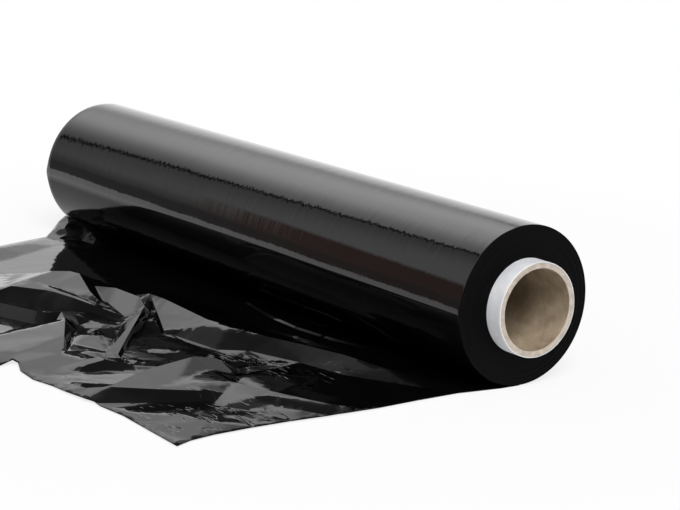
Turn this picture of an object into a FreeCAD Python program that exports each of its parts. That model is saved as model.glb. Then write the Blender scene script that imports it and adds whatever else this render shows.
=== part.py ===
import FreeCAD, Part
import math
import os

# Stretch wrap hand roll, lying on its side with a loose end of film pulled off it.
# Two things come apart on a bench: the paper core tube, and the one long web of
# film that is wound on it. The web's turns and its loose, crumpled end are one piece.
#
# Frame, in millimetres: the origin is the middle of the roll's axis. +X runs along
# the axis, +Z is up, and the loose end lies out towards -Y on the surface that the
# roll rests on. "out" below is the distance from the roll's lowest line, along -Y.

# Core tube
CORE_BORE = 50.0
CORE_WALL = 4.0
CORE_OVERHANG = 12.0
CORE_EDGE_BREAK = 0.4

# Wound film
FILM_WIDTH = 500.0
ROLL_DIAMETER = 98.0
FIRST_TURN_GAP = 0.05
GROOVE_COUNT = 5
GROOVE_WIDTH = 1.6
GROOVE_DEPTH = 0.3
GROOVE_MARGIN = 1.5

# Loose end
LOOSE_LENGTH = 243.0
SHEET_THICKNESS = 0.5
FLAT_STRIP = 16.0
FAR_EDGE_GATHER = 30.0
GATHER_LENGTH = 90.0
CELLS_ALONG = 56
CELLS_OUT = 27
UNDER_ROLL_GAP = 1.0

core_outer_radius = CORE_BORE / 2 + CORE_WALL
core_length = FILM_WIDTH + 2 * CORE_OVERHANG
roll_radius = ROLL_DIAMETER / 2
film_bore_radius = core_outer_radius + FIRST_TURN_GAP
floor_z = -roll_radius
half_width = FILM_WIDTH / 2

# Folds of the loose end. Each has a crest, as points of (x, out, height above the
# surface), and the rise of its face on the left and on the right of the crest,
# seen along it. Between two points the crest is straight, so each face is flat.
FOLDS = [
    # long fold beside the roll
    ([(-20, 99, 6), (20, 101, 9), (64, 101, 10), (111, 87, 8), (164, 67, 6), (233, 47, 1)], 0.45, 0.40),
    # peaked fold in the middle, then its ridge that runs out to the cut end
    ([(-52, 112, 5), (-28, 111, 8), (4, 112, 10), (20, 122, 9), (62, 160, 7), (97, 196, 2)], 0.45, 0.60),
    # tall fold on the far half
    ([(-90, 150, 6), (-88, 128, 8), (-74, 118, 9), (-46, 128, 5), (-20, 129, 1)], 0.50, 0.40),
    # flat-topped fold behind the slot
    ([(-60, 198, 5), (-36, 182, 7), (2, 168, 7), (20, 144, 2)], 0.40, 0.55),
    # short steep fold that throws the slot
    ([(4, 174, 7), (34, 190, 6), (62, 206, 1)], 0.80, 0.35),
    # long low lens near the cut end
    ([(149, 222, 2), (138, 192, 5), (131, 157, 7), (136, 138, 2)], 0.40, 0.50),
    # front band
    ([(152, 232, 3), (175, 202, 6), (196, 172, 4)], 0.45, 0.60),
    # fold at the near edge
    ([(196, 180, 1), (192, 163, 7), (209, 156, 6), (238, 128, 2)], 0.50, 0.45),
    # film bunched against the far end of the roll
    ([(-250, 40, 9), (-232, 36, 7), (-205, 30, 3)], 0.45, 0.35),
    # low folds that run off the far half
    ([(-222, 62, 3), (-206, 96, 5), (-180, 150, 4), (-168, 200, 2)], 0.30, 0.30),
    ([(-150, 180, 2), (-110, 168, 6), (-84, 176, 3)], 0.35, 0.35),
    ([(-200, 205, 3), (-140, 222, 6), (-96, 216, 3)], 0.35, 0.35),
    # lifts of the cut end
    ([(70, 243, 6), (74, 226, 3)], 0.50, 0.50),
    ([(10, 243, 5), (22, 214, 6), (30, 200, 2)], 0.40, 0.40),
    ([(-70, 243, 4), (-52, 222, 2)], 0.40, 0.40),
]


def tube(outer_radius, inner_radius, length):
    """A straight tube along X, centred on the origin."""
    start = FreeCAD.Vector(-length / 2, 0, 0)
    along = FreeCAD.Vector(1, 0, 0)
    outer = Part.makeCylinder(outer_radius, length, start, along)
    return outer.cut(Part.makeCylinder(inner_radius, length, start, along))


def core_tube():
    """Spiral-wound paper tube that stands out of the film at both ends."""
    plain = tube(core_outer_radius, CORE_BORE / 2, core_length)
    rims = [edge for edge in plain.Edges if isinstance(edge.Curve, Part.Circle)]
    return plain.makeChamfer(CORE_EDGE_BREAK, rims)


def fold_height(x, out, fold):
    """Height of one fold at a place: its crest's height less the fall of its face."""
    crest, left_rise, right_rise = fold
    highest = 0.0
    for (x0, out0, h0), (x1, out1, h1) in zip(crest, crest[1:]):
        run_x, run_out = x1 - x0, out1 - out0
        length = math.hypot(run_x, run_out)
        share = ((x - x0) * run_x + (out - out0) * run_out) / length ** 2
        share = min(1.0, max(0.0, share))
        away = math.hypot(x - x0 - share * run_x, out - out0 - share * run_out)
        side = run_x * (out - out0) - run_out * (x - x0)
        rise = left_rise if side > 0 else right_rise
        highest = max(highest, h0 + share * (h1 - h0) - rise * away)
    return highest


def room_under_roll(out):
    """Height of the roll's underside above the surface, less a gap."""
    if out >= roll_radius:
        return roll_radius
    return max(0.0, roll_radius - math.sqrt(roll_radius ** 2 - out ** 2) - UNDER_ROLL_GAP)


def sheet_height(x, out):
    """Height of the loose end's underside above the surface."""
    if out <= FLAT_STRIP:
        return 0.0
    height = max(fold_height(x, out, fold) for fold in FOLDS)
    return min(height, room_under_roll(out))


def far_edge(out):
    """Place of the loose end's far edge, which is pulled in beyond the roll."""
    share = min(1.0, max(0.0, (out - FLAT_STRIP) / GATHER_LENGTH))
    return -half_width + FAR_EDGE_GATHER * share * share * (3 - 2 * share)


def sheet_point(column, row):
    """Underside of the loose end at a grid place."""
    out = FLAT_STRIP + (LOOSE_LENGTH - FLAT_STRIP) * row / CELLS_OUT
    left = far_edge(out)
    x = left + (half_width - left) * column / CELLS_ALONG
    return FreeCAD.Vector(x, -out, floor_z + sheet_height(x, out))


def flat_face(points):
    return Part.Face(Part.makePolygon(points + [points[0]]))


def cell_faces(corners):
    """A grid cell as one flat face, or as two along the diagonal that fits it best."""
    a, b, c, d = corners
    if abs((b - a).cross(c - a).dot(d - a)) < 1e-9:
        return [flat_face([a, b, c, d])]
    middle = (a + b + c + d) * 0.25
    true_z = floor_z + sheet_height(middle.x, -middle.y)
    if abs((a.z + c.z) / 2 - true_z) < abs((b.z + d.z) / 2 - true_z):
        return [flat_face([a, b, c]), flat_face([a, c, d])]
    return [flat_face([a, b, d]), flat_face([b, c, d])]


def loose_end():
    """Crumpled sheet from the flat strip's edge to the cut end, as flat facets."""
    up = FreeCAD.Vector(0, 0, SHEET_THICKNESS)
    under = [
        [sheet_point(column, row) for column in range(CELLS_ALONG + 1)]
        for row in range(CELLS_OUT + 1)
    ]
    faces = []
    for row in range(CELLS_OUT):
        for column in range(CELLS_ALONG):
            corners = [
                under[row][column],
                under[row][column + 1],
                under[row + 1][column + 1],
                under[row + 1][column],
            ]
            for face in cell_faces(corners):
                faces.append(face)
                faces.append(face.translated(up))
    rims = [under[0], under[-1]]
    rims += [[line[0] for line in under], [line[-1] for line in under]]
    for rim in rims:
        for start, end in zip(rim, rim[1:]):
            faces.append(flat_face([start, end, end + up, start + up]))
    return Part.makeSolid(Part.makeShell(faces))


def wound_turns():
    """The roll's turns, with the flat strip that leaves them tangent to the surface."""
    peel_out = math.sqrt(roll_radius ** 2 - (roll_radius - SHEET_THICKNESS) ** 2)

    def point(y, z):
        return FreeCAD.Vector(-half_width, y, z)

    lowest = point(0, floor_z)
    peel = point(-peel_out, floor_z + SHEET_THICKNESS)
    strip_top = point(-FLAT_STRIP, floor_z + SHEET_THICKNESS)
    strip_bottom = point(-FLAT_STRIP, floor_z)
    edges = [
        Part.Arc(lowest, point(0, roll_radius), peel).toShape(),
        Part.makeLine(peel, strip_top),
        Part.makeLine(strip_top, strip_bottom),
        Part.makeLine(strip_bottom, lowest),
    ]
    section = Part.Face(Part.Wire(edges))
    body = section.extrude(FreeCAD.Vector(FILM_WIDTH, 0, 0))
    body = body.cut(tube_bore())
    return body.cut(Part.makeCompound(end_grooves()))


def tube_bore():
    start = FreeCAD.Vector(-half_width, 0, 0)
    return Part.makeCylinder(film_bore_radius, FILM_WIDTH, start, FreeCAD.Vector(1, 0, 0))


def end_grooves():
    """Shallow rings in both ends, where turns wandered sideways as they were wound."""
    first = film_bore_radius + GROOVE_MARGIN
    last = roll_radius - GROOVE_MARGIN - GROOVE_WIDTH
    rings = []
    for index in range(GROOVE_COUNT):
        inner = first + (last - first) * index / (GROOVE_COUNT - 1)
        ring = tube(inner + GROOVE_WIDTH, inner, 2 * GROOVE_DEPTH)
        for end in (-half_width, half_width):
            rings.append(ring.translated(FreeCAD.Vector(end, 0, 0)))
    return rings


def stretch_film():
    return wound_turns().fuse(loose_end()).removeSplitter()


os.makedirs("parts", exist_ok=True)
for name, build in (("core_tube", core_tube), ("stretch_film", stretch_film)):
    shape = build()
    solids = len(shape.Solids)
    print(f"{name}: {solids} solid, {shape.Volume / 1000:.1f} cm3, valid {shape.isValid()}")
    shape.exportStep(f"parts/{name}.step")
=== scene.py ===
# %% [markdown]
# # A hand roll of black stretch film
#
# The object is a paper core with some hundreds of metres of black film wound on it. It lies
# on its side, and a loose end of the film has been pulled off it and lies crumpled in front.
# Three things have to look right: the long mirror-like shine of the wound film, the folds of
# the loose end, and the white-faced paper core. The frame, which holds every size, comes first.

# %% Load the frame
import math

import bpy
import numpy as np
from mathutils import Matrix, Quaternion, Vector, noise
from mathutils.geometry import delaunay_2d_cdt


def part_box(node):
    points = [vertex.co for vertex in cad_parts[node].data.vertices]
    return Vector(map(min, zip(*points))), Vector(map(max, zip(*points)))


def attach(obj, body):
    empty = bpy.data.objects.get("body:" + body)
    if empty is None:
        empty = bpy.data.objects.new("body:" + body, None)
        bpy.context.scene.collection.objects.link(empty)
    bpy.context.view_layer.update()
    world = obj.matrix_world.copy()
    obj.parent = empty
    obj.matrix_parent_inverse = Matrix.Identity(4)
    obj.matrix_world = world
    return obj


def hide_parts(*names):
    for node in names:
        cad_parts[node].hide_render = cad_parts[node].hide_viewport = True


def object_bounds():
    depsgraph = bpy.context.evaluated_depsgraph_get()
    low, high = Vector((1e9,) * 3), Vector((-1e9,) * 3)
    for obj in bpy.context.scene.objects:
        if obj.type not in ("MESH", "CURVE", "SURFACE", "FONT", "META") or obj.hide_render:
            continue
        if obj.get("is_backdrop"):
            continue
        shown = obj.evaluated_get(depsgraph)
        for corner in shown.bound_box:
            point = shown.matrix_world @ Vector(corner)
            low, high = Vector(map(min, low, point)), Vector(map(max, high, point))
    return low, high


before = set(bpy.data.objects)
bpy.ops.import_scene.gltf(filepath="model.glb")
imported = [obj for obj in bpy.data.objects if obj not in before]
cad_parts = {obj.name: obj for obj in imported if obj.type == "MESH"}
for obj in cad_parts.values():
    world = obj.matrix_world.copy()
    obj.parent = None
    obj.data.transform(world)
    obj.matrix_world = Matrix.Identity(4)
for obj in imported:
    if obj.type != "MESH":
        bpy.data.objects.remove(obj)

cad_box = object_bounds()
print("nodes in the frame:", sorted(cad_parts))

# %% [markdown]
# Every size below is read from the frame, so a roll of another width or diameter would still
# dress itself. Blender works in metres, and the small sizes of film and paper read more
# easily in millimetres, so one constant turns the one into the other.

# %% Sizes of the real thing
MM = 0.001
core_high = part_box("core_tube")[1]
film_low, film_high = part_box("stretch_film")

HALF_WIDTH = film_high[0]
ROLL_RADIUS = -film_low[2]
CORE_RADIUS = core_high[2]
CORE_HALF_LENGTH = core_high[0]
CORE_WALL = 4 * MM
BORE_RADIUS = CORE_RADIUS - CORE_WALL
FLOOR_Z = -ROLL_RADIUS
LOOSE_LENGTH = -film_low[1]
print(f"film {2 * HALF_WIDTH / MM:.0f} wide on a roll {2 * ROLL_RADIUS / MM:.0f} mm across")

# %% [markdown]
# The camera comes first of all, because folds and shine are judged through it. It stands low
# and to the right, as in the photograph, and is turned a little about its own line of
# sight. A long lens keeps the far end of the roll nearly as tall as the near one.

# %% Camera
CAMERA_PLACE = Vector((1.1593, -0.8092, 0.2915))
CAMERA_AIM = Vector((0.0572, 0.0052, -0.0090))
CAMERA_LEAN = math.radians(2.576)
CAMERA_LENS = 111.5

camera_data = bpy.data.cameras.new("photo_view")
camera_data.lens = CAMERA_LENS
camera_data.sensor_width = 36.0
camera = bpy.data.objects.new("photo_view", camera_data)
bpy.context.scene.collection.objects.link(camera)
bpy.context.scene.camera = camera

line_of_sight = (CAMERA_PLACE - CAMERA_AIM).to_track_quat("Z", "Y")
camera.rotation_mode = "QUATERNION"
camera.rotation_quaternion = line_of_sight @ Quaternion((0, 0, 1), CAMERA_LEAN)
camera.location = CAMERA_PLACE
print(f"camera {(CAMERA_PLACE - CAMERA_AIM).length:.2f} m from the roll")

# %% [markdown]
# Materials are written as sums. A node's output is wrapped in a small class, and adding or
# multiplying two of them adds the node that does it, so `1 - mask` is a real expression. Numbers
# go through Math nodes and directions and colours through Vector Math, because a Math
# node would turn a colour grey. One method, `node`, makes every other kind of node.

# %% Arithmetic on sockets
class Wire:
    """A node's output that takes part in Python arithmetic."""

    def __init__(self, tree, socket=None):
        self.tree = tree
        self.socket = socket

    def node(self, kind, settings=None, inputs=None, output=0):
        """A new node: its settings first, then the values or links of its sockets."""
        made = self.tree.nodes.new(kind)
        for name, value in (settings or {}).items():
            if name == "stops":
                for element, (place, colour) in zip(made.color_ramp.elements, value):
                    element.position = place
                    element.color = (*colour, 1.0)
            else:
                setattr(made, name, value)
        for name, value in (inputs or {}).items():
            if isinstance(value, Wire):
                self.tree.links.new(value.socket, made.inputs[name])
            else:
                made.inputs[name].default_value = value
        return Wire(self.tree, made.outputs[output] if len(made.outputs) else None)

    def is_vector(self):
        return self.socket.type in ("VECTOR", "RGBA")

    def operate(self, operation, other, swapped=False):
        vector = self.is_vector() or isinstance(other, Wire) and other.is_vector()
        if vector and isinstance(other, (int, float)):
            other = (other, other, other)
        first, second = (other, self) if swapped else (self, other)
        kind = "ShaderNodeVectorMath" if vector else "ShaderNodeMath"
        return self.node(kind, {"operation": operation}, {0: first, 1: second})

    def __add__(self, other):
        return self.operate("ADD", other)

    def __sub__(self, other):
        return self.operate("SUBTRACT", other)

    def __rsub__(self, other):
        return self.operate("SUBTRACT", other, swapped=True)

    def __mul__(self, other):
        return self.operate("MULTIPLY", other)

    def __truediv__(self, other):
        return self.operate("DIVIDE", other)

    def __rtruediv__(self, other):
        return self.operate("DIVIDE", other, swapped=True)

    __radd__ = __add__
    __rmul__ = __mul__

    def math(self, operation, other=0.0):
        return self.operate(operation, other)

    def part(self, axis):
        return self.node("ShaderNodeSeparateXYZ", {}, {0: self}, output="XYZ".index(axis))

    def step(self, start, end):
        """0 below start and 1 above end, with a soft S between them."""
        settings = {"interpolation_type": "SMOOTHSTEP"}
        return self.node("ShaderNodeMapRange", settings, {0: self, 1: start, 2: end})

    def band(self, start, end, soft):
        """1 between start and end, fading to 0 over soft on both sides."""
        return self.step(start - soft, start + soft) * (1 - self.step(end - soft, end + soft))

    def mix(self, other, share):
        """This colour with a share of another. Mix keeps its colours in sockets 6 and 7."""
        settings = {"data_type": "RGBA"}
        return self.node("ShaderNodeMix", settings, {0: share, 6: self, 7: other}, output=2)

    def noise(self, scale, detail=2.0, roughness=0.5):
        inputs = {"Vector": self, "Scale": scale, "Detail": detail, "Roughness": roughness}
        return self.node("ShaderNodeTexNoise", {}, inputs)


print("operators ready: + - * / and step, band, mix, noise")

# %% [markdown]
# A black film has hardly any colour of its own, so what the eye sees is the room mirrored in
# it. The room is therefore part of the recipe. It could be built of cards and lamps, but a sky
# that is painted by direction is simpler and looks the same from every side: a white wall
# behind the roll, a grey one on its left with a dark gap between the two, a brown shelf along
# the foot of the grey one, a pale board further round, and a dim ceiling. Only mirror-like
# reflections see that room. Plain light comes from an even, pale sky, and the camera itself
# sees white.

# %% The studio around the object
PLAIN_SKY = 0.40
ROOM_CEILING = 0.22
ROOM_WALL = 0.45
CEILING_FROM, CEILING_TO = 42, 62
BOARD_LEAN = 0.2
LEVEL_OF_NO_LEAN = 36
TO_DEGREES = 180 / math.pi

world = bpy.data.worlds.new("studio")
bpy.context.scene.world = world
world.use_nodes = True
world.node_tree.nodes.clear()
sky = Wire(world.node_tree)
way = sky.node("ShaderNodeTexCoord", output="Generated")

# Bearing runs from -X, where the far end of the roll points, and grows towards +Y. The boards
# lean a little, so their upright edges drift as they rise.
bearing = way.part("Y").math("ARCTAN2", way.part("X") * -1.0) * TO_DEGREES
elevation = way.part("Z").math("ARCSINE") * TO_DEGREES
across = bearing - BOARD_LEAN * (elevation - LEVEL_OF_NO_LEAN)


def grey(level):
    return (level, level, level, 1.0)


# The white wall grows brighter as it rises and towards its right. Far to the right its upper
# part is shaded and its foot is lit a little more.
white_wall = (0.93 + 1.2 * elevation.step(22, 38)) * (0.52 + 0.48 * across.step(-17, 6))
white_wall = white_wall * (1 - 0.62 * bearing.step(34, 38) * elevation.step(20, 27))
white_wall = white_wall + 0.3 * bearing.step(14, 32) * (1 - elevation.step(15, 24))
grey_wall = (0.84 - 0.46 * across.step(-34, -19)) * (0.60 + 0.40 * elevation.step(5, 12))
shelf_front = (0.29, 0.18, 0.16, 1.0)
shelf_shade = (0.20, 0.165, 0.15, 1.0)

BOARDS = [
    # level or colour; left, right, bottom and top in degrees; softness of flat and upright edges
    (white_wall, -17.2, 150, -20, 43, 1.0, 1.0),
    (grey_wall, -80, -19.2, 5, 44, 1.0, 1.0),
    (grey(0.20), -36, -19.2, -3, 5, 1.5, 1.5),
    (shelf_front, -80, -28.4, 4, 15, 1.6, 2.4),
    (shelf_shade, -80, -28.4, -1, 4, 1.2, 2.4),
    (grey(0.02), -19.2, -17.2, 14, 46, 0.3, 0.3),
    (grey(0.85), -150, -110, 20, 60, 3.0, 3.0),
]

room = sky.node("ShaderNodeRGB")
room.socket.default_value = grey(ROOM_WALL)
room = room.mix(grey(ROOM_CEILING), elevation.step(CEILING_FROM, CEILING_TO))
for level, left, right, low, high, flat_soft, upright_soft in BOARDS:
    share = across.band(left, right, upright_soft) * elevation.band(low, high, flat_soft)
    room = room.mix(level, share)

camera_ray = sky.node("ShaderNodeLightPath", output="Is Camera Ray")
mirror_ray = sky.node("ShaderNodeLightPath", output="Is Glossy Ray")
seen = room.mix(grey(PLAIN_SKY), 1 - mirror_ray).mix(grey(1.0), camera_ray)
light = sky.node("ShaderNodeBackground", {}, {"Color": seen, "Strength": 1.0})
sky.node("ShaderNodeOutputWorld", {}, {"Surface": light})
print("studio: one painted sky with", len(BOARDS), "boards,", len(world.node_tree.nodes), "nodes")

# %% [markdown]
# The table is a large pale sheet. A white floor must not come from more light on the object,
# so most of the floor's white is its own, and only for rays that come from the camera or from
# a mirror-like surface. The rest is plain diffuse white, which keeps the object's shadow.
# Further out, where no shadow reaches, all of the white is its own.

# %% Floor
FLOOR_REACH = 6.0
FLOOR_OWN_WHITE = 0.78
FLOOR_DROP = 0.3 * MM
SHADOWS_TO, ALL_WHITE_FROM = 0.35, 0.65

floor_mesh = bpy.data.meshes.new("floor")
corners = [(-1, -1), (1, -1), (1, 1), (-1, 1)]
floor_level = FLOOR_Z - FLOOR_DROP
floor_points = [(x * FLOOR_REACH, y * FLOOR_REACH, floor_level) for x, y in corners]
floor_mesh.from_pydata(floor_points, [], [(0, 1, 2, 3)])
floor = bpy.data.objects.new("floor", floor_mesh)
bpy.context.scene.collection.objects.link(floor)
floor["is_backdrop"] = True


def new_material(name):
    """An empty material and the wire that starts its nodes."""
    material = bpy.data.materials.new(name)
    material.use_nodes = True
    material.node_tree.nodes.clear()
    return material, Wire(material.node_tree)


floor_paper, start = new_material("floor_paper")
camera_ray = start.node("ShaderNodeLightPath", output="Is Camera Ray")
mirror_ray = start.node("ShaderNodeLightPath", output="Is Glossy Ray")
matt = start.node("ShaderNodeBsdfDiffuse", {}, {"Color": grey(0.95)})
own = start.node("ShaderNodeEmission", {}, {"Color": grey(1.0), "Strength": 1.0})
place = start.node("ShaderNodeTexCoord", output="Object")
reach = place.node("ShaderNodeVectorMath", {"operation": "LENGTH"}, {0: place}, "Value")
own_share = FLOOR_OWN_WHITE + (1 - FLOOR_OWN_WHITE) * reach.step(SHADOWS_TO, ALL_WHITE_FROM)
share = camera_ray.math("MAXIMUM", mirror_ray) * own_share
surface = start.node("ShaderNodeMixShader", {}, {0: share, 1: matt, 2: own})
start.node("ShaderNodeOutputMaterial", {}, {"Surface": surface})
floor_mesh.materials.append(floor_paper)
print("floor: own white", FLOOR_OWN_WHITE)

# %% [markdown]
# One broad soft lamp stands beyond the near end and a little in front, and looks down into the
# bore: it lights the bore's lower side and leaves its upper left dark. It is hidden from
# mirror-like reflections, because the film should mirror the room, not a lamp. The Standard
# view transform shows every colour as it is written.

# %% Lamp
LAMP_FROM = Vector((0.64, -0.30, 0.75))
LAMP_STRENGTH = 2.5
LAMP_SOFTNESS = math.radians(35)

lamp_data = bpy.data.lights.new("soft_key", "SUN")
lamp_data.energy = LAMP_STRENGTH
lamp_data.angle = LAMP_SOFTNESS
lamp = bpy.data.objects.new("soft_key", lamp_data)
lamp.rotation_mode = "QUATERNION"
lamp.rotation_quaternion = LAMP_FROM.to_track_quat("Z", "Y")
lamp.visible_glossy = False
bpy.context.scene.collection.objects.link(lamp)
bpy.context.scene.view_settings.view_transform = "Standard"
print("lamp from", tuple(round(x, 2) for x in LAMP_FROM))

# %% [markdown]
# Black film is a smooth plastic: nearly no colour, a little roughness, and a shine that grows
# from 4% face on to almost everything at a glancing angle, which the index of refraction gives.
# Film pulled tight over a roll still has faint waves, short along the roll and long around
# it. They are far too low to see as shapes, but they make mirrored edges look torn, so they
# go into a bump. The loose end needs no such bands, only fine wrinkles in all directions, and
# thin scratches where it is crushed. The low front side of the roll is darkened as painted
# shade: there a second shell with less shine is mixed in, so that side mirrors less of the room.

# %% Film materials
SCRATCHED = [
    # x, out and reach of the patches where the loose end is crushed, in millimetres
    (130, 128, 28),
    (162, 110, 28),
    (192, 90, 28),
    (224, 70, 24),
    (205, 202, 36),
    (232, 178, 32),
    (84, 186, 20),
    (225, 225, 40),
]
SCRATCH_SCALES = (36.0, 100.0, 60.0)
SCRATCH_THINNESS = 22.0
SCRATCH_DEPTH = 2.6
FAINT = 0.03
PAINTED_SHADE_SHARE = 0.85


def scratches(place):
    """Thin crooked lines along the roll, full inside the crushed patches and faint elsewhere."""
    patches = FAINT
    for x, out, reach in SCRATCHED:
        centre = (x * MM, -out * MM, FLOOR_Z)
        away = place.node(
            "ShaderNodeVectorMath", {"operation": "DISTANCE"}, {0: place, 1: centre}, "Value"
        )
        patches = (1 - away / (reach * MM)).math("MAXIMUM", patches)
    crooked = (place * SCRATCH_SCALES).noise(1.0, detail=2.0)
    lines = (1 - (crooked - 0.5).math("ABSOLUTE") * SCRATCH_THINNESS).math("MAXIMUM", 0.0)
    broken = (place + 3.0).noise(70.0, detail=1.0).step(0.38, 0.56)
    return lines * broken * patches.step(0.0, 0.6)


def film_material(name, waves, wave_height, roughness, refraction, loose):
    """Glossy black film. The waves' lengths along X, Y and Z and their height are in metres."""
    material, start = new_material(name)
    place = start.node("ShaderNodeTexCoord", output="Object")
    stretched = place * tuple(1 / length for length in waves)
    fine = stretched.noise(1.0, detail=3.0, roughness=0.62)
    broad = place.noise(22.0, detail=2.0)
    height = fine + broad * 1.6
    if loose:
        height = height - scratches(place) * SCRATCH_DEPTH
    normal = start.node("ShaderNodeBump", {}, {"Height": height, "Distance": wave_height})
    haze = place.noise(60.0, detail=4.0)
    grease = roughness + 0.045 * haze.step(0.45, 0.75)
    tone = start.node(
        "ShaderNodeValToRGB",
        {"stops": [(0.3, (0.0012, 0.0012, 0.0014)), (0.7, (0.0024, 0.0023, 0.0026))]},
        {0: haze},
    )
    shell = start.node(
        "ShaderNodeBsdfPrincipled",
        {},
        {"Base Color": tone, "Roughness": grease, "Normal": normal, "IOR": refraction},
    )
    if not loose:
        dull_inputs = {"Base Color": tone, "Roughness": 0.12, "IOR": 1.16}
        dull = start.node("ShaderNodeBsdfPrincipled", {}, dull_inputs)
        # Painted shade: a duller shell with less shine is mixed in on the roll's low front side, so
        # it looks blacker.
        low = (place.part("Z") / -ROLL_RADIUS).step(0.03, 0.16)
        front = (place.part("Y") / -ROLL_RADIUS).step(0.0, 0.2)
        share = low * front * PAINTED_SHADE_SHARE
        shell = start.node("ShaderNodeMixShader", {}, {0: share, 1: shell, 2: dull})
    start.node("ShaderNodeOutputMaterial", {}, {"Surface": shell})
    return material


wound_waves = (7 * MM, 45 * MM, 45 * MM)
loose_waves = (9 * MM, 9 * MM, 9 * MM)
wound_film = film_material("wound_film", wound_waves, 0.10 * MM, 0.035, 1.50, loose=False)
loose_film = film_material("loose_film", loose_waves, 0.06 * MM, 0.030, 1.36, loose=True)
print("film materials:", wound_film.name, loose_film.name)

# %% [markdown]
# The ends of the roll are the cut edges of every turn side by side. Thousands of edges make
# a dull black, with faint rings where turns wandered sideways. The rings run by distance from
# the axis, which is the length of the place once its X is taken away.

# %% Film edge material
def film_edge_material():
    material, start = new_material("film_edges")
    place = start.node("ShaderNodeTexCoord", output="Object")
    flat = place * (0.0, 1.0, 1.0)
    radius = flat.node("ShaderNodeVectorMath", {"operation": "LENGTH"}, {0: flat}, "Value")
    ring_place = start.node("ShaderNodeCombineXYZ", {}, {0: radius})
    turns = ring_place.noise(1400.0, detail=3.0, roughness=0.7)
    scuffs = place.noise(90.0, detail=5.0, roughness=0.6)
    tone = start.node(
        "ShaderNodeValToRGB",
        {"stops": [(0.30, (0.0010, 0.0010, 0.0012)), (0.75, (0.0034, 0.0032, 0.0036))]},
        {0: turns * 0.75 + scuffs * 0.25},
    )
    bump = start.node(
        "ShaderNodeBump", {}, {"Height": turns + scuffs * 0.4, "Distance": 0.05 * MM}
    )
    dull = 0.42 + 0.2 * scuffs
    shell = start.node(
        "ShaderNodeBsdfPrincipled",
        {},
        {
            "Base Color": tone,
            "Roughness": dull,
            "Normal": bump,
            "IOR": 1.45,
            "Specular IOR Level": 0.05,
        },
    )
    start.node("ShaderNodeOutputMaterial", {}, {"Surface": shell})
    return material


film_edges = film_edge_material()
print("film edge material:", film_edges.name)

# %% [markdown]
# The core is wound from strips of paper. Its outermost strip is white, the others are brown
# kraft, so three finishes are needed: white paper with a soft grain, the cut rim, where the
# plies show as thin rings, and the bore, where the strips' spiral seam shows faintly. A spiral
# is a line of constant "turn plus advance", so the seam is where that sum passes a half.

# %% Paper materials
SEAM_PITCH = 95 * MM
SEAM_WIDTH = 0.010
SEAM_SHOWS = 0.15
PLY_THICKNESS = 0.62 * MM


def paper(name, tones, grain_scale, plies=False, seam=False):
    """A paper finish: dark, light and fleck tones, a cloudy grain, fibres, plies or a seam."""
    dark, light, fleck = tones
    material, start = new_material(name)
    place = start.node("ShaderNodeTexCoord", output="Object")
    clouds = place.noise(grain_scale, detail=5.0, roughness=0.6)
    fibres = (place * (1.0, 3.2, 3.2)).noise(grain_scale * 9, detail=3.0, roughness=0.7)
    tone = start.node(
        "ShaderNodeValToRGB", {"stops": [(0.32, dark), (0.68, light)]}, {0: clouds}
    )
    tone = tone.mix((*fleck, 1.0), fibres.step(0.60, 0.78) * 0.55)
    height = clouds * 0.6 + fibres * 0.5
    if plies:
        flat = place * (0.0, 1.0, 1.0)
        radius = flat.node("ShaderNodeVectorMath", {"operation": "LENGTH"}, {0: flat}, "Value")
        wander = place.noise(120.0, detail=2.0) * 0.35
        layer = (radius / PLY_THICKNESS + wander).math("FRACT")
        joint = layer.band(0.42, 0.58, 0.10)
        tone = tone.mix((dark[0] * 0.72, dark[1] * 0.68, dark[2] * 0.62, 1.0), joint * 0.5)
        height = height - joint * 0.6
    if seam:
        turn = place.part("Z").math("ARCTAN2", place.part("Y")) / (2 * math.pi)
        advance = (turn + place.part("X") / SEAM_PITCH + 4.0).math("FRACT")
        line = advance.band(0.5 - SEAM_WIDTH, 0.5 + SEAM_WIDTH, SEAM_WIDTH / 2)
        tone = tone.mix((dark[0] * 0.80, dark[1] * 0.78, dark[2] * 0.75, 1.0), line * SEAM_SHOWS)
        height = height - line * SEAM_SHOWS
    bump = start.node("ShaderNodeBump", {}, {"Height": height, "Distance": 0.12 * MM})
    shell = start.node(
        "ShaderNodeBsdfPrincipled",
        {},
        {
            "Base Color": tone,
            "Roughness": 0.78 + 0.16 * clouds,
            "Normal": bump,
            "Specular IOR Level": 0.25,
        },
    )
    start.node("ShaderNodeOutputMaterial", {}, {"Surface": shell})
    return material


white_tones = [(0.66, 0.67, 0.70), (0.84, 0.845, 0.865), (0.60, 0.61, 0.64)]
rim_tones = [(0.44, 0.38, 0.32), (0.62, 0.55, 0.48), (0.36, 0.30, 0.24)]
bore_tones = [(0.24, 0.18, 0.12), (0.44, 0.36, 0.26), (0.18, 0.135, 0.09)]
white_ply = paper("white_ply", white_tones, 60.0)
kraft_rim = paper("kraft_rim", rim_tones, 260.0, plies=True)
kraft_bore = paper("kraft_bore", bore_tones, 70.0, seam=True)
print("paper materials:", white_ply.name, kraft_rim.name, kraft_bore.name)

# %% [markdown]
# Both the roll and the core are turned shapes: an outline in a plane, carried round the
# X axis. Blender's Spin or Screw could turn a drawn outline. Turning it in code has the
# advantage that each point can be moved a little as it goes round, so the same function
# gives torn-looking paper rims and turns that wandered sideways. The outline is a closed
# loop, so the piece is a solid ring with nothing left open.

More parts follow.
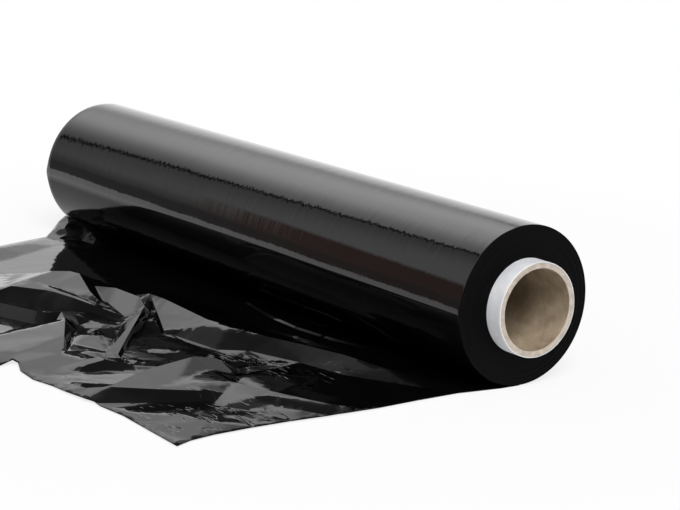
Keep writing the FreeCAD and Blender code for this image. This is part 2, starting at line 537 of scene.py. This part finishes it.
# %% Turned shapes
def turned(name, outline, steps, change, finishes, finish_of):
    """A ring turned about X. change moves a point, and finish_of picks a finish for a side."""
    angles = np.linspace(0, 2 * math.pi, steps, endpoint=False)
    points = []
    for x, radius in outline:
        for angle in angles:
            moved_x, moved_radius = change(x, radius, angle)
            points.append(
                (moved_x, -moved_radius * math.cos(angle), moved_radius * math.sin(angle))
            )
    faces = []
    finish = []
    for row, (start_place, end_place) in enumerate(zip(outline, outline[1:] + outline[:1])):
        below = row * steps
        above = (row + 1) % len(outline) * steps
        chosen = finish_of(start_place, end_place)
        for column in range(steps):
            beside = (column + 1) % steps
            faces.append((below + column, below + beside, above + beside, above + column))
            finish.append(chosen)
    mesh = bpy.data.meshes.new(name)
    mesh.from_pydata(points, [], faces)
    for material in finishes:
        mesh.materials.append(material)
    mesh.polygons.foreach_set("material_index", finish)
    mesh.polygons.foreach_set("use_smooth", [True] * len(faces))
    mesh.update()
    piece = bpy.data.objects.new(name, mesh)
    bpy.context.scene.collection.objects.link(piece)
    return piece


def spaced(start, end, count):
    """Places from start up to but not including end."""
    return [start + (end - start) * step / count for step in range(count)]


print("turned() makes a ring from an outline of (x, radius) places")

# %% [markdown]
# The wound film. Its outline runs across the near end face, over a slightly rounded edge,
# along the outside, and back across the far end face to the bore. Each ring of the end faces
# stands out or in by a tenth of a millimetre or so, and the outside carries long, low
# waves, as a roll does that was wound by machine under uneven pull. The outermost turn is slack
# where it is about to leave the roll: along one line, just below the height of the axis, it
# stands off by 1.5 mm, and that ridge shows as a thin bright band in the shine.

# %% The wound film
FIRST_TURN = CORE_RADIUS + 0.05 * MM
EDGE_ROUND = 0.7 * MM
EDGE_STEPS = 3
FACE_RINGS = 34
OUTSIDE_STATIONS = 120
ROLL_STEPS = 360
RIDGE_ANGLE = -1.0
RIDGE_ROUND = 1.2
RIDGE_SPREAD = 10.0
RIDGE_HEIGHT = 1.5 * MM
FACE_SHIFT = 0.10 * MM
FACE_BEHIND_EDGE = 0.15 * MM
WAVE_LENGTH = 38 * MM
WAVE_HEIGHT = 0.07 * MM
WAVES_AROUND = 1.3
WAVES_INSIDE = 0.04 * MM
WAVES_FROM = 0.95

rng = np.random.default_rng(7)
ring_shift = rng.normal(0.0, FACE_SHIFT, FACE_RINGS + 1)
ring_shift[-1] = 0.0


def face_outline(side, inner, outer):
    """Places across an end face from the bore outwards, each ring a little out or in."""
    places = []
    for ring in range(FACE_RINGS):
        radius = inner + (outer - inner) * ring / FACE_RINGS
        places.append((side * (HALF_WIDTH - FACE_BEHIND_EDGE + ring_shift[ring]), radius))
    return places


def rounded_edge(side):
    """A quarter round from the end face to the outside."""
    places = []
    for step in range(EDGE_STEPS + 1):
        turn = math.pi / 2 * step / EDGE_STEPS
        x = side * (HALF_WIDTH - EDGE_ROUND * (1 - math.cos(turn)))
        places.append((x, ROLL_RADIUS - EDGE_ROUND * (1 - math.sin(turn))))
    return places


near_face = face_outline(1, FIRST_TURN, ROLL_RADIUS - EDGE_ROUND)
far_face = face_outline(-1, FIRST_TURN, ROLL_RADIUS - EDGE_ROUND)
outside = spaced(HALF_WIDTH - 2 * EDGE_ROUND, -HALF_WIDTH + 2 * EDGE_ROUND, OUTSIDE_STATIONS)
roll_outline = near_face + rounded_edge(1)
roll_outline += [(x, ROLL_RADIUS) for x in outside]
roll_outline += rounded_edge(-1)[::-1] + far_face[::-1]


def slack_turn(angle):
    """How far the outermost turn stands off in front. The ridge's own angles are in degrees."""
    up = math.degrees(math.asin(math.sin(angle))) if math.cos(angle) > 0 else 180.0
    from_ridge = math.hypot(up - RIDGE_ANGLE, RIDGE_ROUND) - RIDGE_ROUND
    return RIDGE_HEIGHT * math.exp(-from_ridge / RIDGE_SPREAD)


def roll_waves(x, radius, angle):
    """Long low waves on the outside, and none where the roll stands on the floor."""
    outer_share = max(0.0, (radius - FIRST_TURN) / (ROLL_RADIUS - FIRST_TURN))
    radius += slack_turn(angle) * outer_share
    if outer_share < WAVES_FROM:
        return x, radius
    away_from_floor = 0.5 + 0.5 * math.sin(angle)
    at = Vector((x / WAVE_LENGTH, math.cos(angle) * WAVES_AROUND, math.sin(angle) * WAVES_AROUND))
    wave = noise.noise(at) * WAVE_HEIGHT
    return x, radius - WAVES_INSIDE + wave * min(1.0, 2.5 * away_from_floor)


def roll_finish(start_place, end_place):
    return 0 if min(start_place[1], end_place[1]) > ROLL_RADIUS - 0.5 * EDGE_ROUND else 1


film_roll = turned(
    "film_roll", roll_outline, ROLL_STEPS, roll_waves, [wound_film, film_edges], roll_finish
)
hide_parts("stretch_film")
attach(film_roll, "root")
print("film_roll:", len(film_roll.data.polygons), "faces")

# %% [markdown]
# The paper core stands out of the film at both ends. Its outer ply is a little proud of the
# rim, the rim's plies step by a few hundredths, and the whole rim is slightly bruised, since
# paper never keeps a turned edge. Only the last few millimetres are bruised.

# %% The paper core
PLY_COUNT = 6
OUTER_PLY = 0.55 * MM
CORE_STEPS = 240
CORE_STATIONS = 40
BORE_ROUND = 0.3 * MM
RIM_REACH = 2 * MM
BRUISE_REACH = 3 * MM
DENTS_AROUND, DENT_DEPTH = 3.1, 0.22 * MM
FUZZ_AROUND, FUZZ_DEPTH = 26, 0.06 * MM


def rim_outline(side):
    """Places across a rim, from the outer ply to the bore, given as (depth, radius)."""
    inner_side = CORE_RADIUS - OUTER_PLY
    thick = (inner_side - BORE_RADIUS - BORE_ROUND) / PLY_COUNT
    places = [(0.5 * MM, CORE_RADIUS), (0.15 * MM, CORE_RADIUS - 0.08 * MM)]
    places += [(0.0, CORE_RADIUS - 0.25 * MM), (0.0, inner_side)]
    # Each ply dips at its outer edge and then runs flat to the next one.
    for ply in range(PLY_COUNT):
        outer = inner_side - thick * ply
        places.append((0.14 * MM, outer - 0.04 * MM))
        places.append((0.04 * MM, outer - 0.18 * MM))
        places.append((0.04 * MM, outer - thick + 0.06 * MM))
    places += [(0.30 * MM, BORE_RADIUS + 0.06 * MM), (0.8 * MM, BORE_RADIUS)]
    return [(side * (CORE_HALF_LENGTH - depth), radius) for depth, radius in places]


straight = CORE_HALF_LENGTH - RIM_REACH
outer_side = spaced(-straight, straight, CORE_STATIONS) + [straight]
bore_side = spaced(straight, -straight, CORE_STATIONS) + [-straight]
core_outline = [(x, CORE_RADIUS) for x in outer_side] + rim_outline(1)
core_outline += [(x, BORE_RADIUS) for x in bore_side] + rim_outline(-1)[::-1]


def bruise(x, radius, angle):
    """Dents and fuzz of the rim, fading out within a few millimetres of it."""
    near_rim = max(0.0, 1 - (CORE_HALF_LENGTH - abs(x)) / BRUISE_REACH)
    side = 1 if x > 0 else -1
    around = Vector((math.cos(angle), math.sin(angle), 0.0))
    dents = around * DENTS_AROUND + Vector((0.0, 0.0, side * 5.0 + radius / BRUISE_REACH))
    fuzz = around * FUZZ_AROUND + Vector((0.0, 0.0, side * 9.0 + radius / MM))
    dent = noise.noise(dents) * DENT_DEPTH + noise.noise(fuzz) * FUZZ_DEPTH
    return x - side * abs(dent) * near_rim, radius + dent * 0.5 * near_rim


def core_finish(start_place, end_place):
    middle = (start_place[1] + end_place[1]) / 2
    if middle > CORE_RADIUS - OUTER_PLY + 0.01 * MM:
        return 0
    return 1 if middle > BORE_RADIUS + 0.03 * MM else 2


core_paper = turned(
    "core_paper", core_outline, CORE_STEPS, bruise, [white_ply, kraft_rim, kraft_bore], core_finish
)
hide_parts("core_tube")
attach(core_paper, "root")
print("core_paper:", len(core_paper.data.polygons), "faces")

# %% [markdown]
# The loose end. Film this thin crumples into nearly flat facets that meet in sharp creases,
# and each facet mirrors one part of the room: white wall, grey wall or dark roll. Cloth
# simulation gives soft drapes, not facets, so the creases are listed one by one instead. Each
# crease is a row of (x, out, height) places in millimetres, where "out" is the distance from
# the roll's lowest line. Some are crests, some valleys and some only a change of slope, and
# the heights alone say which. A slope of 40 degrees towards the camera mirrors the dim ceiling,
# so a dark face is made by giving it that slope from its top to its foot.

# %% Creases of the loose end
CREASES = {
    "long fold": [
        (-27, 96.5, 5), (-13, 99, 8.8), (10.5, 101.5, 10.5), (69, 105.5, 10.5), (116, 90, 8.4),
        (135, 79.5, 7.2), (168, 69.5, 7), (199, 61, 5.2), (232.5, 46, 1.3)
    ],
    "tall fold": [
        (-148, 236, 1), (-112, 205, 5), (-74, 178.5, 8), (-83.5, 134.5, 13), (-74, 126, 14),
        (-67, 122.5, 13.5), (-32, 134, 10), (-17, 136, 7.5), (-13.5, 130.5, 4.5)
    ],
    "facet between": [
        (-50.5, 119.5, 8), (-29, 116, 11), (-0.5, 114.5, 11), (18, 121.5, 9.5), (37, 137.5, 8),
        (54.5, 152.5, 6.5), (74, 169, 4.8), (92, 184, 3)
    ],
    "slot fold": [
        (-84, 216, 4), (-39, 196.5, 7.3), (-6, 187, 8), (2, 181.5, 8.5), (5.5, 175.5, 9),
        (4, 166, 8)
    ],
    "lens": [
        (160, 229.5, 6.2), (148, 199.5, 9), (138.5, 159, 10), (143, 147, 8.5), (147.5, 145.5, 7.5)
    ],
    "near fold": [
        (197, 182.5, 1), (194, 173.5, 4), (188, 160.5, 6.5), (208.5, 152.5, 6.2),
        (227.5, 143.5, 5.6), (244.5, 131.5, 4.2)
    ],
    "front ridge": [
        (106.5, 242, 1), (100.5, 228, 2.4), (98.5, 218, 3.6), (100.5, 210, 5.2),
        (101.5, 202.5, 6.1), (106.5, 201, 5.8)
    ],
    "small lift": [
        (85.5, 155.5, 1.3), (90.5, 149, 1.3), (94, 141, 0.9)
    ],
    "long fold, left end": [
        (-7, 101, 7), (19.5, 113, 5.5), (36.5, 120.5, 4), (54, 128.5, 2.4), (61.5, 126, 1)
    ],
    "long fold, left foot": [
        (-8, 102.5, 0.7), (18.5, 114, 0.7), (35.5, 121.5, 0.7), (53, 129.5, 0.7)
    ],
    "small lift, back": [
        (80, 154.5, 0.6), (91.5, 138, 0.6)
    ],
    "small lift, foot": [
        (87.5, 158.5, 0.6), (93.5, 151, 0.6), (99, 141, 0.6)
    ],
    "long fold, shoulder": [
        (61.5, 126, 1), (64, 119.5, 5), (70.5, 113.5, 7.5), (89.5, 103.5, 9.5)
    ],
    "long fold, foot": [
        (61.5, 126, 1), (102.5, 119.5, 0.6), (113.5, 103.5, 0.6), (150.5, 90, 0.5),
        (184, 82.5, 0.4), (238, 50.5, 0.2)
    ],
    "long fold, back foot": [
        (-34, 66, 0.5), (10, 60, 0.5), (70, 60, 0.5), (118, 52, 0.5), (170, 42, 0.5),
        (232, 26, 0.3)
    ],
    "tall fold, groove": [
        (-72.5, 154, 10.5), (-59.5, 148.5, 9.8), (-34.5, 143.5, 8.4), (-19.5, 139, 6.6),
        (-7.5, 134, 4), (11.5, 132.5, 2.5)
    ],
    "tall fold, back foot": [
        (-172, 216, 0.6), (-146, 178, 0.6), (-134, 140, 0.6), (-118, 110, 0.5), (-92, 96, 0.5),
        (-66, 92, 0.5)
    ],
    "dark face, top": [
        (-138, 238, 1), (-104, 210, 4.5), (-69, 181, 7.8), (-71, 172, 9.2), (-50, 157.5, 9.3),
        (-42, 154.5, 9.3), (-25.5, 149.5, 8.5), (-11.5, 143.5, 6.4), (11.5, 132.5, 2.5)
    ],
    "dark face, bright edge": [
        (-58, 154, 9.8), (-48, 152, 9.9), (-27.5, 147, 8.9), (-14, 143, 7)
    ],
    "dark face, foot": [
        (-124, 238, 0.5), (-96, 216, 1.5), (-61, 185, 1.4), (-48, 168.5, 1.9), (-33.5, 161, 1.8),
        (-18.5, 153.5, 2.5), (-5.5, 144.5, 2), (11, 136, 1)
    ],
    "facet between, lower side": [
        (-50.5, 119.5, 8), (-39, 121.5, 6.5), (-15.5, 128.5, 4.5), (11.5, 132.5, 2.5),
        (14.5, 126, 5), (18, 121.5, 9.5)
    ],
    "facet between, back foot": [
        (-66, 92, 0.5), (-44, 94, 0.6), (-20, 106, 1), (6, 110, 1.5), (22, 116, 2)
    ],
    "ridge, left foot": [
        (14.5, 126, 5), (31.5, 146, 2.5), (57.5, 167, 2), (79, 185, 1.6), (93, 194, 0.8),
        (99, 186.5, 0.8)
    ],
    "ridge, left crest": [
        (18, 121.5, 9.5), (32.5, 136.5, 8.2), (52.5, 155, 6.5), (70.5, 172.5, 5), (84, 187, 3.4),
        (93.5, 193, 2.4), (97.5, 185.5, 2.3), (92, 184, 3)
    ],
    "ridge, right foot": [
        (6, 110, 1.5), (19, 120.5, 0.7), (37.5, 136, 0.7), (55.5, 151.5, 0.7), (75, 167.5, 0.7),
        (93, 182.5, 0.7), (94, 182.5, 0.6)
    ],
    "slot, left side": [
        (5.5, 175.5, 9), (23, 182.5, 8.6), (53, 199.5, 7.2), (71.5, 210, 5)
    ],
    "slot, left foot": [
        (26, 178.5, 1.2), (55, 196.5, 2), (72.5, 208.5, 3), (71, 206, 3.2)
    ],
    "slot, right side": [
        (4, 166, 8), (14.5, 167.5, 1), (37.5, 183.5, 1.9), (57, 195.5, 2.7), (71, 206, 3.2)
    ],
    "slot, right crease": [
        (14.5, 167.5, 1), (14.5, 159.5, 3), (22.5, 154, 2), (21, 143, 1)
    ],
    "dark under the crease": [
        (22, 171, 1.1), (25.5, 160, 1), (27, 145.5, 0.7)
    ],
    "dark under the crease, foot": [
        (45, 181, 4.2), (54, 176, 4.4), (54.5, 168.5, 3)
    ],
    "slot fold, foot": [
        (-90, 228, 0.5), (-31, 200.5, 0.4), (-3.5, 192, 0.9), (5.5, 187, 2), (5.5, 175.5, 9)
    ],
    "front band, top": [
        (150, 238.5, 4), (160, 229.5, 6.2), (177, 209, 6.5), (191, 185, 6), (194, 173.5, 4)
    ],
    "front band, foot": [
        (169.5, 241.5, 0.6), (183.5, 212.5, 0.5), (197, 182.5, 1)
    ],
    "lens, right side": [
        (147.5, 145.5, 7.5), (157, 159.5, 6.5), (167, 184.5, 7), (179, 188.5, 6.8)
    ],
    "lens to near fold": [
        (147.5, 145.5, 7.5), (164.5, 146, 3), (188, 160.5, 6.5)
    ],
    "lens, back foot": [
        (142, 216, 0.8), (131, 188, 0.7), (126, 160, 0.5), (126, 140, 0.5), (142, 132, 0.5)
    ],
    "near fold, foot": [
        (197, 182.5, 1), (206.5, 184, 0.8), (223, 173, 0.8), (248, 163, 0.5)
    ],
    "near fold, back foot": [
        (172, 150, 0.6), (196, 144, 0.5), (215, 136, 0.5), (232, 124, 0.5), (246, 112, 0.4)
    ],
    "near fold, hollow top": [
        (211, 164.5, 5), (215.5, 157.5, 5.8), (241.5, 137, 4.2)
    ],
    "near fold, hollow foot": [
        (211, 164.5, 5), (220, 160, 3), (236.5, 150, 1.7), (247.5, 140.5, 0.6), (241.5, 137, 4.2)
    ],
    "shoulder": [
        (55, 244, 3), (65, 235, 4), (78.5, 215, 4.2), (79, 203, 3.2), (80, 193, 2.8)
    ],
    "shoulder foot": [
        (126.5, 237.5, 1), (150, 238.5, 4)
    ],
    "dark lens, top": [
        (107.5, 223, 1.6), (107.5, 213.5, 4.2), (107, 201.5, 5.6), (112.5, 193.5, 4.3),
        (117.5, 189.5, 3.2), (124.5, 185.5, 1.5)
    ],
    "hollow": [
        (109, 223.5, 1.2), (113, 213.5, 1), (114, 205, 0.9), (118.5, 197.5, 0.8), (131, 188, 0.7)
    ],
    "corner": [
        (197, 236.5, 1.6), (204.5, 228.5, 2.2), (215.5, 219.5, 2.9), (230.5, 210, 2.6),
        (239.5, 200.5, 1.7)
    ],
    "thin crease one": [
        (9, 35.5, 1.4), (50, 42.5, 1.4), (81.5, 44, 1.4), (115.5, 39.5, 1.4), (139.5, 32, 1.3),
        (164.5, 21, 1.2)
    ],
    "thin crease one, back": [
        (9, 34, 0.3), (50, 41.5, 0.3), (81.5, 42.5, 0.3), (115.5, 38, 0.3), (139.5, 30.5, 0.3),
        (164.5, 20, 0.3)
    ],
    "thin crease one, foot": [
        (9, 37, 0.3), (50, 44, 0.3), (81.5, 45, 0.3), (115.5, 41, 0.3), (139.5, 33.5, 0.3),
        (164.5, 22.5, 0.3)
    ],
    "thin crease two": [
        (4, 25, 1.3), (19, 23.5, 1.3), (49.5, 24, 1.3), (80, 25.5, 1.3), (110.5, 20, 1.2),
        (135, 19, 1.2)
    ],
    "thin crease two, back": [
        (4, 23.5, 0.3), (19, 22, 0.3), (49.5, 22.5, 0.3), (80, 24, 0.3), (110.5, 19, 0.3),
        (135, 18, 0.3)
    ],
    "thin crease two, foot": [
        (4, 26.5, 0.3), (19, 25, 0.3), (49.5, 25.5, 0.3), (80, 26.5, 0.3), (110.5, 21.5, 0.3),
        (135, 20.5, 0.3)
    ],
    "bunch, ridge": [
        (-250, 33, 12.2), (-232, 33, 12), (-214, 31, 10.4), (-200, 27, 7.6), (-186, 20, 3.6),
        (-172, 14.5, 0.5)
    ],
    "bunch, crest": [
        (-232, 33, 12), (-218, 34.5, 9.5), (-207, 34.5, 7), (-196, 29, 4), (-184, 23.5, 2)
    ],
    "bunch, triangle": [
        (-207, 34.5, 7), (-209, 41, 1)
    ],
    "bunch, foot": [
        (-230.5, 60, 1.5), (-220.5, 61, 0.8), (-217, 50.5, 1), (-209, 41, 1), (-188, 37.5, 0.8),
        (-181, 25, 0.8)
    ],
    "far facet, crest": [
        (-222, 64.5, 1.6), (-211, 88, 2.8), (-202, 113.5, 3.5)
    ],
    "far facet, foot": [
        (-203.5, 68, 0.6), (-186, 99.5, 0.6), (-172, 128.5, 0.6)
    ],
    "far swell, crest": [
        (-196, 236, 1), (-188, 210, 4), (-176, 180, 4.5), (-168, 150, 1)
    ],
    "far swell, foot": [
        (-212, 225, 0.5), (-204, 196, 0.8), (-184, 150, 0.5)
    ],
}
# The sheet's border from the roll's far end round the cut end to its near end.
OUTLINE = [
    (-250, 0, 0), (-250, 14, 0), (-250, 33, 12.2), (-250.5, 39, 7.5), (-237.5, 51.5, 4),
    (-230.5, 60, 1.5), (-221.5, 82.5, 2.2), (-211, 109, 2.8), (-222, 140, 1), (-226, 190, 1.5),
    (-224, 238, 0.5), (-190, 243, 1), (-150, 243, 0.6), (-110, 243, 0.5), (-70, 244, 0.8),
    (-20, 243, 0.6), (20, 247, 1.5), (52, 253, 1), (75.5, 254.5, 0.8), (73, 245, 2.5),
    (77, 243.5, 1.5), (90.5, 249, 0.5), (110, 251, 0.5), (127, 247.5, 0.6), (143, 246.5, 0.8),
    (160.5, 245, 1.5), (167, 242.5, 1), (174.5, 243, 0.5), (196, 241, 0.5), (220, 242, 0.5),
    (257, 243.5, 0.5), (252, 232, 0.5), (249, 215, 0.5), (248, 190, 0.6), (248, 165, 0.6),
    (250, 140, 0.8), (250, 105, 0.5), (248, 75, 0.4), (247, 45, 0.3), (250, 14, 0), (250, 0, 0)
]
print(len(CREASES), "creases with", sum(len(crease) for crease in CREASES.values()), "places")

# %% [markdown]
# Between the creases the film is stretched flat, which is what a triangulation does: it joins
# the places of the creases with triangles, and never crosses a crease. Blender's own function
# for it is the constrained Delaunay one. The first, coarse net is only used as a table of
# heights: for any point of the floor it tells how high the film is there.

# %% From creases to heights
FLAT_STRIP = 14.0
UNDER_ROLL_GAP = 0.6
OPEN_AIR = 999.0
SAME_PLACE = 0.001
ROUNDING = 1e-6
radius_mm = ROLL_RADIUS / MM
half_mm = HALF_WIDTH / MM
STRIP = [(-half_mm, FLAT_STRIP, 0.0), (half_mm, FLAT_STRIP, 0.0)]
BACK_EDGE = [(half_mm, 0.0, 0.0), (-half_mm, 0.0, 0.0)]


def numbered(lines):
    """All the places of some lines once each, and the lines as rows of place numbers."""
    number_of = {}
    rows = [[number_of.setdefault(place, len(number_of)) for place in line] for line in lines]
    return list(number_of), rows


def triangles_between(places, rows, outline=()):
    """Triangles over the places that keep the rows as edges and stay inside the outline."""
    flat = [Vector((place[0], place[1])) for place in places]
    edges = [pair for row in rows for pair in zip(row, row[1:])]
    kept_inside = 1 if outline else 0
    result = delaunay_2d_cdt(flat, edges, [outline] if outline else [], kept_inside, SAME_PLACE)
    points, triangles, first_numbers = result[0], result[2], result[3]
    return points, triangles, [numbers[0] if numbers else None for numbers in first_numbers]


def heights_over(net, x, out):
    """Height of the coarse net over each point of two arrays."""
    height = np.zeros_like(x)
    for a, b, c in net:
        double_area = (b[0] - a[0]) * (c[1] - a[1]) - (c[0] - a[0]) * (b[1] - a[1])
        if abs(double_area) < ROUNDING:
            continue
        share_b = ((x - a[0]) * (c[1] - a[1]) - (c[0] - a[0]) * (out - a[1])) / double_area
        share_c = ((b[0] - a[0]) * (out - a[1]) - (x - a[0]) * (b[1] - a[1])) / double_area
        inside = (share_b >= -ROUNDING) & (share_c >= -ROUNDING) & (share_b + share_c <= 1 + ROUNDING)
        level = a[2] + share_b * (b[2] - a[2]) + share_c * (c[2] - a[2])
        height = np.where(inside, level, height)
    return height


coarse_places, coarse_rows = numbered(list(CREASES.values()) + [OUTLINE, STRIP, BACK_EDGE])
_, coarse_triangles, coarse_numbers = triangles_between(coarse_places, coarse_rows)
added = coarse_numbers.count(None)
coarse_net = [
    [coarse_places[coarse_numbers[corner]] for corner in triangle]
    for triangle in coarse_triangles
    if all(coarse_numbers[corner] is not None for corner in triangle)
]
print(len(coarse_net), "coarse triangles,", added, "crossings of creases")

# %% [markdown]
# The sheet itself is a second, fine triangulation. The creases are cut into short lengths, so
# that they keep their place exactly, and scattered points between them carry small crumples:
# noise with sharp valleys, strong in a few crushed patches and faint elsewhere. A regular grid
# would cut every slanting crease into stairs, and the stairs would show in the shine.

# %% The fine sheet
SPACING = 3.2
CREASE_STEP = 3.0
BACK_STEP = 8.0
CLEAR_OF_CREASE = 1.3
SCATTER = 0.42
BEYOND_CUT_END = 8
BROAD_WRINKLE, FINE_WRINKLE = 14.0, 6.0
EVERYWHERE = 0.04
CRUSHED = [
    # x, out, reach and depth of each crushed patch, in millimetres
    (150, 112, 30, 0.25),
    (195, 80, 26, 0.25),
    (205, 202, 20, 0.40),
    (232, 178, 18, 0.40),
    (78, 186, 11, 0.40),
    (118, 228, 16, 0.40),
]


def divided(line, step):
    """The line with places added, so that none are further apart than step."""
    places = []
    for start, end in zip(line, line[1:]):
        parts = max(1, math.ceil(math.dist(start[:2], end[:2]) / step))
        for part in range(parts):
            share = part / parts
            places.append(tuple(a + (b - a) * share for a, b in zip(start, end)) if part else start)
    return places + [line[-1]]


def crumple(x, out, scale, seed):
    """Wrinkles with sharp valleys, from -0.5 to 0.5 or so."""
    flat = [noise.noise(Vector((a / scale, b / scale, seed))) for a, b in zip(x, out)]
    return 0.5 - np.abs(np.array(flat)) * 2


def crushed_depth(x, out):
    depth = np.full_like(x, EVERYWHERE)
    for patch_x, patch_out, reach, strength in CRUSHED:
        away = np.hypot(x - patch_x, out - patch_out) / reach
        depth = np.maximum(depth, strength * np.exp(-(away**2)))
    return depth


def room_under_roll(out):
    """How far the roll's underside is above the floor, less a gap, and plenty beyond it."""
    inside = np.sqrt(np.maximum(radius_mm**2 - np.minimum(out, radius_mm) ** 2, 0.0))
    free = np.maximum(radius_mm - inside - UNDER_ROLL_GAP, 0.0)
    return np.where(out < radius_mm, free, OPEN_AIR)


border = divided(OUTLINE, CREASE_STEP)[:-1] + divided(BACK_EDGE, BACK_STEP)
fine_lines = [border + border[:1]] + [divided(crease, CREASE_STEP) for crease in CREASES.values()]
line_places, line_rows = numbered(fine_lines)
on_lines = np.array(line_places)

rng = np.random.default_rng(11)
columns = np.arange(-half_mm, half_mm, SPACING)
rows = np.arange(SPACING, LOOSE_LENGTH / MM + BEYOND_CUT_END, SPACING)
grid_x, grid_out = np.meshgrid(columns, rows)
scatter_x = (grid_x + rng.uniform(-SCATTER, SCATTER, grid_x.shape) * SPACING).ravel()
scatter_out = (grid_out + rng.uniform(-SCATTER, SCATTER, grid_out.shape) * SPACING).ravel()
clear = np.array([
    np.hypot(on_lines[:, 0] - a, on_lines[:, 1] - b).min() > CLEAR_OF_CREASE
    for a, b in zip(scatter_x, scatter_out)
])
scatter_x, scatter_out = scatter_x[clear], scatter_out[clear]
wrinkle = crumple(scatter_x, scatter_out, BROAD_WRINKLE, 3.0)
wrinkle = wrinkle + 0.5 * crumple(scatter_x, scatter_out, FINE_WRINKLE, 8.0)
scatter_height = heights_over(coarse_net, scatter_x, scatter_out)
scatter_height = scatter_height + wrinkle * crushed_depth(scatter_x, scatter_out)

sheet_places = line_places + np.stack([scatter_x, scatter_out, scatter_height], axis=-1).tolist()
border_row, *crease_rows = line_rows
sheet = triangles_between(sheet_places, crease_rows, border_row[:-1])
sheet_points, sheet_faces, sheet_numbers = sheet
print(len(sheet_points), "places and", len(sheet_faces), "triangles in the sheet")

# %% [markdown]
# Film is a sheet without thickness to the eye, yet a surface needs two sides to be a solid one,
# so Solidify gives it two tenths of a millimetre. Edges that turn by 18 degrees or more are
# kept sharp, which makes the facets, and all others are shaded smooth.

# %% The loose end
SHEET_THICKNESS = 0.2
SHARP_CREASE = math.radians(18)

known = [sheet_places[number] if number is not None else None for number in sheet_numbers]
x = np.array([point.x for point in sheet_points])
out = np.array([point.y for point in sheet_points])
height = np.array([place[2] if place else 0.0 for place in known])
height = np.minimum(np.maximum(height, 0.0), room_under_roll(out))
points = np.stack([x * MM, -out * MM, FLOOR_Z + (height + SHEET_THICKNESS) * MM], axis=-1)

mesh = bpy.data.meshes.new("film_loose_end")
mesh.from_pydata(points.tolist(), [], [face[::-1] for face in sheet_faces])
mesh.materials.append(loose_film)
mesh.polygons.foreach_set("use_smooth", [True] * len(sheet_faces))
mesh.set_sharp_from_angle(angle=SHARP_CREASE)
mesh.update()
film_loose_end = bpy.data.objects.new("film_loose_end", mesh)
bpy.context.scene.collection.objects.link(film_loose_end)
shell = film_loose_end.modifiers.new("thickness", "SOLIDIFY")
shell.thickness = SHEET_THICKNESS * MM
shell.offset = -1.0

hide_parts("stretch_film")
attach(film_loose_end, "root")
print("film_loose_end:", len(mesh.polygons), "faces, highest", round(height.max(), 1), "mm")

# %% [markdown]
# Nothing above may change the size of the object, so the boxes before and after are written
# down side by side.

# %% Sizes and the end
dressed_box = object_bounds()
boxes = {
    "cad": [list(corner) for corner in cad_box],
    "visual": [list(corner) for corner in dressed_box],
}
for name, (low, high) in boxes.items():
    print(name, [round((b - a) / MM, 1) for a, b in zip(low, high)], "mm")
